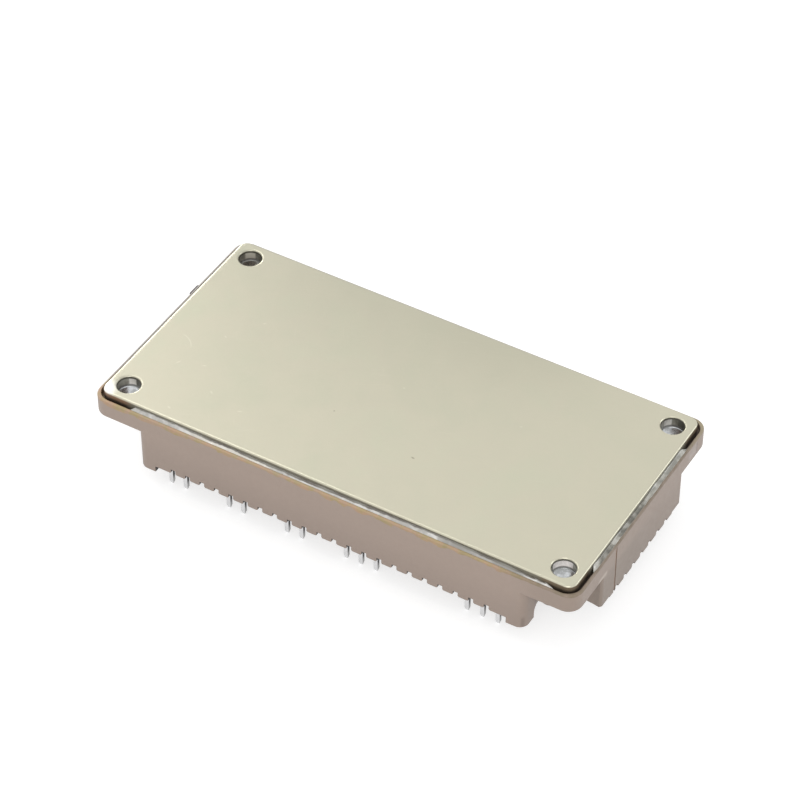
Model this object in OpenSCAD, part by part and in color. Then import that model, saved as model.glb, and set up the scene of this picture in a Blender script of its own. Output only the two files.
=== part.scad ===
// Power semiconductor module: a metal base plate on a moulded frame, with solder pins along three sides.
// The outer face of the base plate lies at z = 0 and looks up. Every depth is measured down from it,
// so the module stands on the tips of its pins, as it does before it is turned over on a circuit board.

/* [Comb] */
// Distance between neighbouring pin positions
pin_pitch = 3.81; // [3.6:0.01:3.9]
// Slots in each long wall, one between every two pin positions
long_slots = 22; // [22:2:24]
// Slots in each short wall, one between every two pin positions
short_slots = 7; // [7:2:9]
// Length of a long wall past its last pin position
long_end_l = 7.34; // [6.8:0.01:8]
// Length of a short wall past its last pin position
short_end_l = 5.515; // [5:0.005:6]
// Width of a slot in the long walls
slot_w = 1.2; // [0.8:0.1:1.8]
// Height of a slot in the long walls
slot_h = 1.15; // [0.6:0.05:1.8]
// Width of a slot in the short walls
short_slot_w = 1.1; // [0.8:0.1:1.8]
// Height of a slot in the short walls
short_slot_h = 0.85; // [0.6:0.05:1.8]
// Bevel at the mouth of a slot
slot_bevel = 0.25; // [0.1:0.05:0.4]

/* [Base plate] */
// Thickness of the base plate
plate_t = 3; // [2.5:0.1:3.4]
// Radius of the base plate's corners
plate_corner_r = 2.2; // [1.5:0.1:3.2]
// Rounding of the base plate's outer edge
plate_edge_r = 0.35; // [0.2:0.05:0.8]
// Distance from an edge of the base plate to the mounting holes' axes
hole_edge = 4.6; // [4.4:0.05:5]
// Distance along the module from the end of a long wall to the mounting holes' axes
long_end_clear = 5.75; // [5.5:0.05:6.5]
// Distance across the module from the end of a short wall to the mounting holes' axes
short_end_clear = 6.15; // [5.5:0.05:7]
// Diameter of the mounting holes
hole_d = 5.5; // [4.5:0.1:6]
// Bevel at the mouth of a mounting hole
hole_bevel = 0.2; // [0.1:0.05:0.6]

/* [Frame] */
// Gap between the base plate and the rim round it
rim_gap = 0.85; // [0.5:0.05:1.2]
// Width of the rim
rim_w = 0.65; // [0.5:0.05:1]
// How far the rim lies below the base plate's face
rim_drop = 1.4; // [0.8:0.1:1.8]
// Radius of the frame's corners
frame_corner_r = 3.5; // [3:0.1:5]
// Radius of the corners inside the rim
pocket_corner_r = 3.4; // [2.5:0.1:4]
// Rounding of the rim's outer edge
rim_edge_r = 0.4; // [0.2:0.05:0.6]
// Depth of the underside of the corner lugs
lug_depth = 6.35; // [5.5:0.05:7]
// Rounding of the corner lugs' lower outer edge
lug_edge_r = 0.5; // [0.2:0.05:0.7]
// Depth of the comb that the pins leave the frame at
comb_depth = 15.3; // [14:0.1:17]
// How far the corner standoffs reach past the comb
standoff_h = 1.6; // [0.8:0.1:2.5]
// Length of a standoff along the long wall
standoff_l = 4.45; // [3.5:0.05:5]
// Radius of the upright corners at the ends of the long walls
long_end_r = 2.25; // [1:0.05:3]
// Radius of the upright corners at the ends of the short walls
short_end_r = 1; // [0.5:0.05:1.5]
// Radius of the hollow that keeps a long wall's end clear of the mounting screw
screw_room_r = 11.3; // [10.5:0.1:11.5]
// Distance along the module from a mounting hole outward to the hollow's axis
screw_room_x = 4; // [3.8:0.1:4.5]
// Distance across the module from a mounting hole inward to the hollow's axis
screw_room_y = 4; // [3.5:0.1:5]
// Depth of the hollow in the end of a short wall
end_hollow = 0.5; // [0.2:0.05:0.7]
// Length of the raised end of a short wall's lower edge
end_step_l = 4.25; // [3.9:0.05:4.8]
// How far that end is raised
end_step_h = 0.4; // [0.2:0.05:0.8]

/* [Mould marks] */
// Distance of the gate's stub from the end of the short wall
gate_in = 7.65; // [5:0.05:12]
// Width of the gate's stub
gate_w = 3; // [2:0.1:5]
// How far the gate's stub stands out
gate_out = 0.75; // [0.3:0.05:1]
// Height of the gate's stub
gate_h = 1.6; // [1:0.1:2.5]
// Height of the slope on top of the gate's stub
gate_slope = 0.5; // [0.2:0.1:0.9]
// Distance of the upright witness line from the end of the short wall
witness_in = 6.15; // [5.5:0.05:7]
// Width of a witness line
witness_w = 0.6; // [0.3:0.1:0.9]
// Depth of a witness line
witness_d = 0.1; // [0.05:0.01:0.15]
// Height and depth of the notch where the witness line meets the comb
witness_notch = 0.5; // [0.2:0.1:1]

/* [Board screws] */
// Distance of the board screw holes from the mounting holes along the module
board_step_x = 5.2; // [5:0.05:5.6]
// Distance of the board screw holes from the mounting holes across the module
board_step_y = 5.05; // [4.9:0.05:5.4]
// Diameter of the board screw holes
board_hole_d = 2.1; // [1.6:0.1:2.4]
// Depth of the board screw holes
board_hole_depth = 8.5; // [6:0.1:9.5]
// Radius of the boss round a board screw hole
boss_r = 2.25; // [2:0.05:2.4]

/* [Pins] */
// Depth of the pin tips
tip_depth = 20.6; // [19.5:0.1:22]
// Width of a pin along its row
pin_w = 1; // [0.7:0.05:1.2]
// Thickness of a pin across its row
pin_t = 0.8; // [0.6:0.05:1]
// Distance from the frame's face to the middle of the pins
pin_inset = 2.2; // [1.7:0.05:2.4]
// Length of the taper at a pin's tip
taper_l = 0.8; // [0.4:0.1:1.5]
// Width lost on each side by the taper
taper_in = 0.2; // [0.1:0.05:0.28]
// Thickness of a pin's bonding foot
foot_t = 0.8; // [0.5:0.1:1.2]
// Length of a bonding foot on the long sides
long_foot_l = 4.6; // [3.8:0.1:5]
// Length of a bonding foot on the short side
short_foot_l = 8.4; // [6:0.1:9]
// Clearance between a pin and its groove
pin_clear = 0.05; // [0.02:0.01:0.1]

/* [Lid] */
// Thickness of the lid
lid_t = 1.5; // [1:0.1:2]
// How far the lid lies inside the comb
lid_recess = 0.5; // [0.4:0.1:0.8]
// Gap round the lid
lid_gap = 0.1; // [0.05:0.01:0.2]
// Radius of the corners of the lid and of the cavity under it
cavity_r = 1; // [0.5:0.1:1.5]
// Width of the shoulder that the lid rests on
lid_seat_w = 1.2; // [0.8:0.1:1.5]
// Width of a stiffening rib inside the lid
lid_rib_w = 1.2; // [0.8:0.1:2]
// Height of a stiffening rib inside the lid
lid_rib_h = 1.6; // [0.8:0.1:2]
// Stiffening ribs across the lid
lid_ribs = 5; // [3:1:7]

/* [Bushes and bead] */
// Outer diameter of a mounting bush
bush_d = 8.2; // [7.5:0.1:9]
// Diameter of a mounting bush's collar
collar_d = 9.6; // [9.2:0.1:10.4]
// Thickness of a mounting bush's collar
collar_t = 0.6; // [0.4:0.1:1]
// Bevel at the end of a mounting bush's bore
bush_bevel = 0.3; // [0.1:0.05:0.5]
// Clearance between a bush and its seat in the lug
bush_clear = 0.1; // [0.05:0.01:0.2]
// Depth of the sealing bead's surface at the base plate
bead_top = 0.9; // [0.7:0.1:1.3]
// Depth of the sealing bead's surface at the rim
bead_low = 1.5; // [1.4:0.05:1.9]
// Distance that the bead on a long side stops short of the base plate's ends
long_bead_stop = 7.1; // [6:0.1:12]
// Distance that the bead on a short side stops short of the base plate's ends
short_bead_stop = 8.2; // [6:0.1:12]

/* [Substrates] */
// Width of the ledge that carries the bonding feet of the long sides
long_ledge_w = 3.6; // [3:0.1:4]
// Width of the ledge that carries the bonding feet of the short side
short_ledge_w = 8; // [5:0.1:9]
// Depth of the ledges
ledge_depth = 6.3; // [6.2:0.1:7]
// Gap round each substrate
substrate_gap = 0.6; // [0.4:0.1:0.9]
// Thickness of the solder under a substrate
solder_t = 0.2; // [0.1:0.05:0.3]
// Thickness of each copper layer
copper_t = 0.3; // [0.2:0.05:0.4]
// Thickness of the ceramic
ceramic_t = 0.4; // [0.3:0.05:0.6]
// Bare edge of the ceramic round its copper
ceramic_edge = 0.6; // [0.4:0.1:0.9]
// Gap between neighbouring copper tracks
track_gap = 0.7; // [0.5:0.1:1]
// Width of the pads along the long edges
pad_w = 4; // [3.5:0.1:4.4]
// Width of a gate track
gate_track_w = 1.6; // [1.2:0.1:2]

/* [Chips and bonds] */
// Side of a transistor chip
igbt_s = 9; // [8:0.1:9.2]
// Width of a diode chip
diode_w = 7; // [5:0.1:9]
// Strip of track left free beyond the diodes
diode_edge = 0.9; // [0.5:0.1:1.4]
// Thickness of a chip
chip_t = 0.2; // [0.15:0.05:0.3]
// Thickness of the solder under a chip
chip_solder_t = 0.1; // [0.05:0.01:0.15]
// Gap between a transistor and its diode
chip_gap = 0.8; // [0.6:0.1:1]
// Strip of track kept free for wires in front of each transistor
landing_w = 2.1; // [1.8:0.1:2.3]
// Diameter of a gate wire
wire_d = 0.4; // [0.3:0.05:0.5]
// Thickness of a bond ribbon
ribbon_t = 0.2; // [0.15:0.05:0.3]
// Width of a chip's bond ribbon
chip_ribbon_w = 1.6; // [1:0.1:1.8]
// Width of a pin's bond ribbon
pin_ribbon_w = 0.7; // [0.4:0.05:0.7]
// Ribbons side by side on each chip
chip_ribbons = 3; // [1:1:3]
// Distance between ribbons side by side
ribbon_pitch = 2.1; // [1.9:0.1:2.5]
// Length of a stitch, where a ribbon or wire is bonded
stitch_l = 0.9; // [0.6:0.1:1]
// Height of a ribbon's or wire's loop
loop_h = 1.1; // [0.8:0.1:1.4]
// Gap left round the soft fill
gel_gap = 0.2; // [0.1:0.05:0.4]
// Length of the temperature sensor
sensor_l = 2; // [1.6:0.1:3]
// Width of the temperature sensor
sensor_w = 1.25; // [0.8:0.05:1.6]
// Height of the temperature sensor
sensor_h = 0.9; // [0.5:0.1:1.2]

/* [Hidden] */
$fn = 48;

// Pins of each group, counted in pitches from the middle of their side
FRONT_PINS = [[-11, -10], [-7, -6], [-3, -2], [1, 2, 3], [9, 10, 11]];
BACK_PINS = [[-11, -10], [-7, -6], [-3, -2], [2, 3], [6, 7], [10, 11]];
LEFT_PINS = [[-3.5, -2.5, -1.5], [1.5, 2.5, 3.5]];

// A cut reaches this far past the face that it opens
past = 0.5;

// The walls are as long as their combs need, the holes lie clear of the walls, and the plate takes in
// the holes
long_wall_l = long_slots * pin_pitch + 2 * long_end_l;
short_wall_w = short_slots * pin_pitch + 2 * short_end_l;
hole_pitch_x = long_wall_l + 2 * long_end_clear;
hole_pitch_y = short_wall_w + 2 * short_end_clear;
plate_l = hole_pitch_x + 2 * hole_edge;
plate_w = hole_pitch_y + 2 * hole_edge;

frame_l = plate_l + 2 * (rim_gap + rim_w);
frame_w = plate_w + 2 * (rim_gap + rim_w);
pocket_l = plate_l + 2 * rim_gap;
pocket_w = plate_w + 2 * rim_gap;

standoff_depth = comb_depth + standoff_h;

board_pitch_x = hole_pitch_x - 2 * board_step_x;
board_pitch_y = hole_pitch_y - 2 * board_step_y;

// The end of a short wall that stands clear of the boss is hollowed by an arc over its whole length
free_end = (frame_l - board_pitch_x) / 2 - boss_r;
end_hollow_r = (free_end * free_end / 4 + end_hollow * end_hollow) / (2 * end_hollow);

// The lid drops into a rebate between the two rows of pins, and the cavity lies a shoulder further in
rebate_inset = pin_inset + pin_t / 2 - pin_clear;
rebate_w = frame_w - 2 * rebate_inset;
rebate_l = frame_l - 2 * rebate_inset;
rebate_long = long_wall_l - 2 * standoff_l;
rebate_short = short_wall_w - 2 * lid_seat_w;
lid_out = comb_depth - lid_recess;
lid_in = lid_out - lid_t;

// The ledges narrow the cavity to the window that the substrates lie in
window_long = rebate_long - 2 * lid_seat_w;
window_w = rebate_w - 2 * lid_seat_w - 2 * long_ledge_w;
window_l = rebate_l - 2 * lid_seat_w - 2 * short_ledge_w;
window_short = rebate_short - 2 * lid_seat_w;

// Three equal substrates lie side by side in the window
substrates = 3;
substrate_pitch = (window_long - substrate_gap) / substrates;
substrate_l = substrate_pitch - substrate_gap;
substrate_w = window_w - 2 * substrate_gap;
copper_l = substrate_l - 2 * ceramic_edge;
copper_w = substrate_w - 2 * ceramic_edge;
back_copper_top = plate_t + solder_t;
ceramic_top = back_copper_top + copper_t;
track_top = ceramic_top + ceramic_t;
track_face = track_top + copper_t;
chip_face = track_face + chip_solder_t + chip_t;

// Each substrate is half a bridge: two broad tracks, one for each switch, between two rows of pads
track_w = (copper_w - 2 * pad_w - 3 * track_gap) / 2;
track_pitch = track_w + track_gap;
gate_room = gate_track_w + 2 * track_gap;
column_x = (copper_l + gate_room) / 4;
igbt_y = landing_w + igbt_s / 2;
diode_l = track_w - landing_w - igbt_s - chip_gap - diode_edge;
diode_y = igbt_y + igbt_s / 2 + chip_gap + diode_l / 2;
landing_y = track_pitch + landing_w / 2;

foot_face = ledge_depth + foot_t;

bead_edge = 0.02;

PLASTIC = [0.63, 0.57, 0.53];
NICKEL = [0.83, 0.81, 0.73];
TIN = [0.8, 0.8, 0.8];
COPPER = [0.78, 0.5, 0.35];

// A flat outline drawn out between two depths
module slab(top, bottom) {
    translate([0, 0, -bottom]) linear_extrude(bottom - top) children();
}

module rounded_rect(l, w, r) {
    square([l - 2 * r, w], center = true);
    square([l, w - 2 * r], center = true);
    for (sx = [-1, 1], sy = [-1, 1])
        translate([sx * (l / 2 - r), sy * (w / 2 - r)]) circle(r);
}

// Section through the outer edge of a plate: r deep, h high, with its upper and lower corners rounded
module edge_section(r, h, upper, lower) {
    translate([0, lower]) square([r, h - upper - lower]);
    translate([0, h - upper]) square([r - upper, upper]);
    translate([r - upper, h - upper]) circle(upper);
    if (lower > 0) {
        square([r - lower, lower]);
        translate([r - lower, lower]) circle(lower);
    }
}

// A plate with round corners whose outer edges are rounded all the way round
module soft_plate(l, w, r, h, upper, lower = 0) {
    for (a = [0, 180]) rotate(a) {
        translate([l / 2 - r, w / 2 - r, 0]) rotate([90, 0, 0])
            linear_extrude(w - 2 * r) edge_section(r, h, upper, lower);
        translate([-(l / 2 - r), w / 2 - r, 0]) rotate([90, 0, 90])
            linear_extrude(l - 2 * r) edge_section(r, h, upper, lower);
        for (k = [0, 1]) translate([(1 - 2 * k) * (l / 2 - r), w / 2 - r, 0]) rotate(k * 90)
            rotate_extrude(angle = 90) edge_section(r, h, upper, lower);
    }
    linear_extrude(h) square([l - 2 * r, w - 2 * r], center = true);
}

module at_corners(pitch_x, pitch_y) {
    for (sx = [-1, 1], sy = [-1, 1]) translate([sx * pitch_x / 2, sy * pitch_y / 2]) children();
}

// A bevel at the mouth of a mounting hole or bush, widening upward to a given height
module mouth_bevel(top, bevel) {
    translate([0, 0, top - bevel]) cylinder(d1 = hole_d, d2 = hole_d + 2 * bevel, h = bevel);
}

module base_plate() {
    color(NICKEL) difference() {
        translate([0, 0, -plate_t]) soft_plate(plate_l, plate_w, plate_corner_r, plate_t, plate_edge_r);
        at_corners(hole_pitch_x, hole_pitch_y) {
            translate([0, 0, -plate_t - past]) cylinder(d = hole_d, h = plate_t + 2 * past);
            mouth_bevel(0, hole_bevel);
        }
    }
}

// Outline of the walls below the lugs: a cross whose inner corners leave room for the mounting screws
module wall_plan() {
    difference() {
        rounded_rect(long_wall_l, frame_w, long_end_r);
        at_corners(hole_pitch_x + 2 * screw_room_x, hole_pitch_y - 2 * screw_room_y) circle(screw_room_r);
    }
    difference() {
        rounded_rect(frame_l, short_wall_w, short_end_r);
        at_corners(frame_l - free_end, short_wall_w - 2 * (end_hollow - end_hollow_r)) circle(end_hollow_r);
    }
    at_corners(board_pitch_x, board_pitch_y) circle(boss_r);
}

// The two crossed rectangles of the lid's rebate, drawn in by an inset
module rebate_plan(inset, r) {
    rounded_rect(rebate_long - 2 * inset, rebate_w - 2 * inset, r);
    rounded_rect(rebate_l - 2 * inset, rebate_short - 2 * inset, r);
}

module window_plan() {
    rounded_rect(window_long, window_w, cavity_r);
    rounded_rect(window_l, window_short, cavity_r);
}

// Every wall end that carries a board screw reaches down to the standoff face
module standoff_plan() {
    reach = (frame_w - board_pitch_y) / 2 + boss_r;
    intersection() {
        wall_plan();
        at_corners(long_wall_l - standoff_l, frame_w - reach) square([standoff_l, reach], center = true);
    }
    at_corners(board_pitch_x, board_pitch_y) circle(boss_r);
}

// The four free ends of the short walls, whose lower edge is raised
module end_step_plan() {
    at_corners(frame_l, short_wall_w) square([2 * free_end, 2 * end_step_l], center = true);
}

// Grooves that the pins stand in, at every position of the comb
module groove_plan() {
    groove_w = pin_w + 2 * pin_clear;
    reach = 2 * (rebate_inset - pin_inset + pin_t / 2 + pin_clear) + 2 * lid_seat_w;
    for (k = [-long_slots / 2 : long_slots / 2], s = [-1, 1])
        translate([k * pin_pitch, s * (rebate_w / 2 - lid_seat_w)]) square([groove_w, reach], center = true);
    for (k = [-short_slots / 2 : short_slots / 2], s = [-1, 1])
        translate([s * (rebate_l / 2 - lid_seat_w), k * pin_pitch]) square([reach, groove_w], center = true);
}

// Elevation of a row of slots, with the comb's edge on the first axis
module slot_row(count, w, h) {
    half = w / 2;
    for (k = [0 : count - 1]) translate([(k - (count - 1) / 2) * pin_pitch, 0])
        polygon([[-half - slot_bevel - past, -past], [-half - slot_bevel, 0], [-half, slot_bevel], [-half, h],
            [half, h], [half, slot_bevel], [half + slot_bevel, 0], [half + slot_bevel + past, -past]]);
}

// Stub left on the left side where the plastic was fed in
module gate_stub() {
    top = -rim_drop - rim_edge_r;
    translate([-frame_l / 2, short_wall_w / 2 - gate_in + gate_w / 2, top]) rotate([90, 0, 0])
        linear_extrude(gate_w) polygon([[rim_w, 0], [0, 0], [-gate_out, -gate_slope], [-gate_out, -gate_h],
            [rim_w, -gate_h]]);
}

// Upright line left by the mould on the right side, from below the rim to the comb
module witness_line() {
    top = rim_drop + rim_edge_r;
    translate([frame_l / 2, -short_wall_w / 2 + witness_in - witness_w / 2, -comb_depth - past]) {
        translate([-witness_d, 0, 0]) cube([witness_d + past, witness_w, comb_depth + past - top]);
        translate([-witness_notch, 0, 0]) cube([witness_notch + past, witness_w, witness_notch + past]);
    }
}

module frame() {
    color(PLASTIC) difference() {
        union() {
            translate([0, 0, -lug_depth])
                soft_plate(frame_l, frame_w, frame_corner_r, lug_depth - rim_drop, rim_edge_r, lug_edge_r);
            slab(lug_depth - lug_edge_r, comb_depth) wall_plan();
            slab(lug_depth - lug_edge_r, standoff_depth) standoff_plan();
            gate_stub();
        }
        witness_line();
        slab(0, plate_t) rounded_rect(pocket_l, pocket_w, pocket_corner_r);
        slab(plate_t - past, ledge_depth + past) window_plan();
        slab(ledge_depth, comb_depth) rebate_plan(lid_seat_w, cavity_r);
        slab(lid_in, standoff_depth + past) rebate_plan(0, cavity_r);
        slab(ledge_depth, comb_depth + past) groove_plan();
        slab(comb_depth - end_step_h, comb_depth + past) end_step_plan();
        translate([0, frame_w / 2 + past, -comb_depth]) rotate([90, 0, 0])
            linear_extrude(frame_w + 2 * past) slot_row(long_slots, slot_w, slot_h);
        translate([-frame_l / 2 - past, 0, -comb_depth]) rotate([90, 0, 90])
            linear_extrude(frame_l + 2 * past) slot_row(short_slots, short_slot_w, short_slot_h);
        at_corners(hole_pitch_x, hole_pitch_y) {
            translate([0, 0, -lug_depth - past])
                cylinder(d = bush_d + 2 * bush_clear, h = lug_depth);
            translate([0, 0, -lug_depth - past])
                cylinder(d = collar_d + 2 * bush_clear, h = collar_t + past);
        }
        at_corners(board_pitch_x, board_pitch_y) translate([0, 0, -standoff_depth - past])
            cylinder(d = board_hole_d, h = board_hole_depth + past);
    }
}

module lid() {
    rib_l = rebate_long - 2 * lid_seat_w - 2 * lid_gap - 2 * cavity_r;
    rib_w = rebate_w - 2 * lid_seat_w - 2 * lid_gap - 2 * cavity_r;
    color(PLASTIC) {
        slab(lid_in, lid_out) rebate_plan(lid_gap, cavity_r);
        slab(lid_in - lid_rib_h, lid_in) {
            for (k = [0 : lid_ribs - 1])
                translate([(k / (lid_ribs - 1) - 0.5) * (rib_l - lid_rib_w), 0])
                    square([lid_rib_w, rib_w], center = true);
            for (s = [-1, 0, 1]) translate([0, s * rib_w / 4]) square([rib_l, lid_rib_w], center = true);
        }
    }
}

module mounting_bushes() {
    color(TIN) at_corners(hole_pitch_x, hole_pitch_y) difference() {
        union() {
            slab(plate_t, lug_depth) circle(d = bush_d);
            slab(lug_depth - collar_t, lug_depth) circle(d = collar_d);
        }
        slab(plate_t - past, lug_depth + past) circle(d = hole_d);
        mouth_bevel(-plate_t, bush_bevel);
    }
}

// Section of the bead: it fills the gap between plate and rim and slopes down to the rim
module bead_section() {
    polygon([[bead_edge, -plate_t], [rim_gap - bead_edge, -plate_t],
        [rim_gap - bead_edge, -bead_low], [bead_edge, -bead_top]]);
}

module sealing_bead() {
    color([0.75, 0.74, 0.7]) for (a = [0, 180]) rotate(a) {
        translate([plate_l / 2, plate_w / 2 - short_bead_stop, 0]) rotate([90, 0, 0])
            linear_extrude(plate_w - 2 * short_bead_stop) bead_section();
        translate([-(plate_l / 2 - long_bead_stop), plate_w / 2, 0]) rotate([90, 0, 90])
            linear_extrude(plate_l - 2 * long_bead_stop) bead_section();
    }
}

// Side of a pin: a bonding foot on the ledge, then the shank down to a tapered tip
module pin_side(foot_l) {
    half = pin_t / 2;
    polygon([[-half, -ledge_depth], [-half, -tip_depth + taper_l], [-half + taper_in, -tip_depth],
        [half - taper_in, -tip_depth], [half, -tip_depth + taper_l], [half, -foot_face],
        [foot_l, -foot_face], [foot_l, -ledge_depth]]);
}

module pin_front() {
    half = pin_w / 2;
    polygon([[-half, -ledge_depth], [-half, -tip_depth + taper_l], [-half + taper_in, -tip_depth],
        [half - taper_in, -tip_depth], [half, -tip_depth + taper_l], [half, -ledge_depth]]);
}

// One pin at the origin of its row, with its foot pointing along +Y
module pin(foot_l) {
    intersection() {
        translate([-pin_w / 2, 0, 0]) rotate([90, 0, 90]) linear_extrude(pin_w) pin_side(foot_l);
        translate([0, foot_l + past, 0]) rotate([90, 0, 0])
            linear_extrude(foot_l + pin_t + 2 * past) pin_front();
    }
}

module front_pins(group) {
    color(TIN) for (k = FRONT_PINS[group])
        translate([k * pin_pitch, -frame_w / 2 + pin_inset, 0]) pin(long_foot_l);
}

module back_pins(group) {
    color(TIN) for (k = BACK_PINS[group])
        translate([k * pin_pitch, frame_w / 2 - pin_inset, 0]) rotate(180) pin(long_foot_l);
}

module left_pins(group) {
    color(TIN) for (k = LEFT_PINS[group])
        translate([-frame_l / 2 + pin_inset, k * pin_pitch, 0]) rotate(-90) pin(short_foot_l);
}

module at_substrates() {
    for (k = [0 : substrates - 1]) translate([(k - (substrates - 1) / 2) * substrate_pitch, 0]) children();
}

// Places its children at the front edge of each broad track
module at_tracks() {
    for (k = [-1, 0]) translate([0, k * track_pitch + track_gap / 2]) children();
}

// Places its children at the two chips of each kind on a track
module at_columns(y) {
    for (s = [-1, 1]) translate([s * column_x, y]) children();
}

module substrate_solder() {
    color("silver") slab(plate_t, back_copper_top)
        at_substrates() square([copper_l, copper_w], center = true);
}

module substrate_back_copper() {
    color(COPPER) slab(back_copper_top, ceramic_top)
        at_substrates() square([copper_l, copper_w], center = true);
}

module substrate_ceramic() {
    color("white") slab(ceramic_top, track_top)
        at_substrates() square([substrate_l, substrate_w], center = true);
}

module gate_strip(w) {
    translate([0, track_w / 2]) square([w, track_w], center = true);
}

// Each broad track leaves a lane in its middle for the gate track, closed at the landing strip
module power_tracks() {
    color(COPPER) slab(track_top, track_face) at_substrates() at_tracks() difference() {
        translate([0, track_w / 2]) square([copper_l, track_w], center = true);
        translate([0, landing_w]) gate_strip(gate_room);
    }
}

module gate_tracks() {
    color(COPPER) slab(track_top, track_face) at_substrates() at_tracks()
        translate([0, landing_w + track_gap + (track_w - landing_w - track_gap) / 2])
            square([gate_track_w, track_w - landing_w - track_gap], center = true);
}

// Two pads along each long edge of a substrate
module edge_pads() {
    pad_l = (copper_l - track_gap) / 2;
    color(COPPER) slab(track_top, track_face) at_substrates()
        at_corners(pad_l + track_gap, copper_w - pad_w) square([pad_l, pad_w], center = true);
}

module chip_plan() {
    at_columns(igbt_y) square(igbt_s, center = true);
    at_columns(diode_y) square([diode_w, diode_l], center = true);
}

module chip_solder() {
    color("silver") slab(track_face, track_face + chip_solder_t) at_substrates() at_tracks() chip_plan();
}

module igbt_chips() {
    color([0.35, 0.36, 0.4]) slab(chip_face - chip_t, chip_face) at_substrates() at_tracks()
        at_columns(igbt_y) square(igbt_s, center = true);
}

module diode_chips() {
    color([0.42, 0.42, 0.45]) slab(chip_face - chip_t, chip_face) at_substrates() at_tracks()
        at_columns(diode_y) square([diode_w, diode_l], center = true);
}

// Temperature sensor, soldered across the gap between two pads of the last substrate
module thermistor() {
    color([0.2, 0.2, 0.2]) translate([substrate_pitch, -(copper_w - pad_w) / 2, -track_face - sensor_h / 2])
        cube([sensor_l, sensor_w, sensor_h], center = true);
}

// Side of a ribbon from one stitch to the next: two feet on faces at given depths, and a loop between them
module ribbon_side(y1, depth1, y2, depth2) {
    chord = norm([y2 - y1, depth2 - depth1]);
    bend_r = (chord * chord / 4 + loop_h * loop_h) / (2 * loop_h);
    translate([y1 - stitch_l / 2, -depth1 - ribbon_t]) square([stitch_l, ribbon_t]);
    translate([y2 - stitch_l / 2, -depth2 - ribbon_t]) square([stitch_l, ribbon_t]);
    translate([(y1 + y2) / 2, -(depth1 + depth2 + ribbon_t) / 2]) rotate(atan2(depth1 - depth2, y2 - y1))
        intersection() {
            translate([0, bend_r - loop_h]) difference() {
                circle(bend_r + ribbon_t / 2);
                circle(bend_r - ribbon_t / 2);
            }
            translate([-chord / 2, -loop_h - ribbon_t]) square([chord, loop_h + ribbon_t]);
        }
}

// Gives a side seen along X its width
module ribbon(w) {
    translate([-w / 2, 0, 0]) rotate([90, 0, 90]) linear_extrude(w) children();
}

// From each transistor over its diode to the next track, the power current's way
module emitter_ribbons() {
    color("silver") at_substrates() at_tracks() at_columns(0)
        for (k = [0 : chip_ribbons - 1])
            translate([(k - (chip_ribbons - 1) / 2) * ribbon_pitch, 0, 0]) ribbon(chip_ribbon_w) {
                ribbon_side(igbt_y, chip_face, diode_y, chip_face);
                ribbon_side(diode_y, chip_face, landing_y, track_face);
            }
}

// Flat foot of a round wire
module wire_foot(x, depth) {
    translate([x, 0, -depth - wire_d / 2]) cube([stitch_l, wire_d, wire_d], center = true);
}

// From the inner edge of each transistor to the gate track beside it, as an arc of round wire
module gate_wires() {
    reach = column_x - igbt_s / 2 + stitch_l;
    rise = chip_face - track_face;
    chord = norm([reach, rise]);
    bend_r = (chord * chord / 4 + loop_h * loop_h) / (2 * loop_h);
    half = asin(chord / (2 * bend_r));
    color("silver") at_substrates() at_tracks() for (s = [-1, 1])
        translate([0, igbt_y + s * stitch_l, 0]) rotate(90 - s * 90) {
            wire_foot(0, track_face);
            wire_foot(reach, chip_face);
            translate([reach / 2, 0, -(track_face + chip_face + wire_d) / 2])
                rotate([90, atan2(rise, reach), 0]) translate([0, bend_r - loop_h]) rotate(-90 - half)
                    rotate_extrude(angle = 2 * half) translate([bend_r, 0]) circle(d = wire_d, $fn = 16);
        }
}

// From each pin's foot, over the edge of its ledge, to the copper
module terminal_ribbons() {
    pad_y = (frame_w / 2 - pin_inset) - (copper_w - pad_w) / 2;
    track_x = (frame_l / 2 - pin_inset) - (substrate_pitch + copper_l / 2 - stitch_l);
    color("silver") {
        for (group = FRONT_PINS, k = group) translate([k * pin_pitch, -frame_w / 2 + pin_inset, 0])
            ribbon(pin_ribbon_w) ribbon_side(long_foot_l - stitch_l, foot_face, pad_y, track_face);
        for (group = BACK_PINS, k = group) translate([k * pin_pitch, frame_w / 2 - pin_inset, 0])
            rotate(180) ribbon(pin_ribbon_w)
                ribbon_side(long_foot_l - stitch_l, foot_face, pad_y, track_face);
        for (group = LEFT_PINS, k = group) translate([-frame_l / 2 + pin_inset, k * pin_pitch, 0])
            rotate(-90) ribbon(pin_ribbon_w)
                ribbon_side(short_foot_l - stitch_l, foot_face, track_x, track_face);
    }
}

// Soft fill over the ribbons. It stands on the ledge of the side that has no pins
module silicone_gel() {
    gel_in = foot_face + loop_h + ribbon_t;
    gel_out = lid_in - lid_rib_h - gel_gap;
    foot_x = window_l / 2 + gel_gap;
    color([0.85, 0.9, 0.92, 0.6]) {
        slab(gel_in, gel_out) rebate_plan(lid_seat_w + gel_gap, cavity_r);
        slab(ledge_depth, gel_in) translate([foot_x, -(window_short / 2 - gel_gap)])
            square([short_ledge_w - 3 * gel_gap, window_short - 2 * gel_gap]);
    }
}

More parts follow.
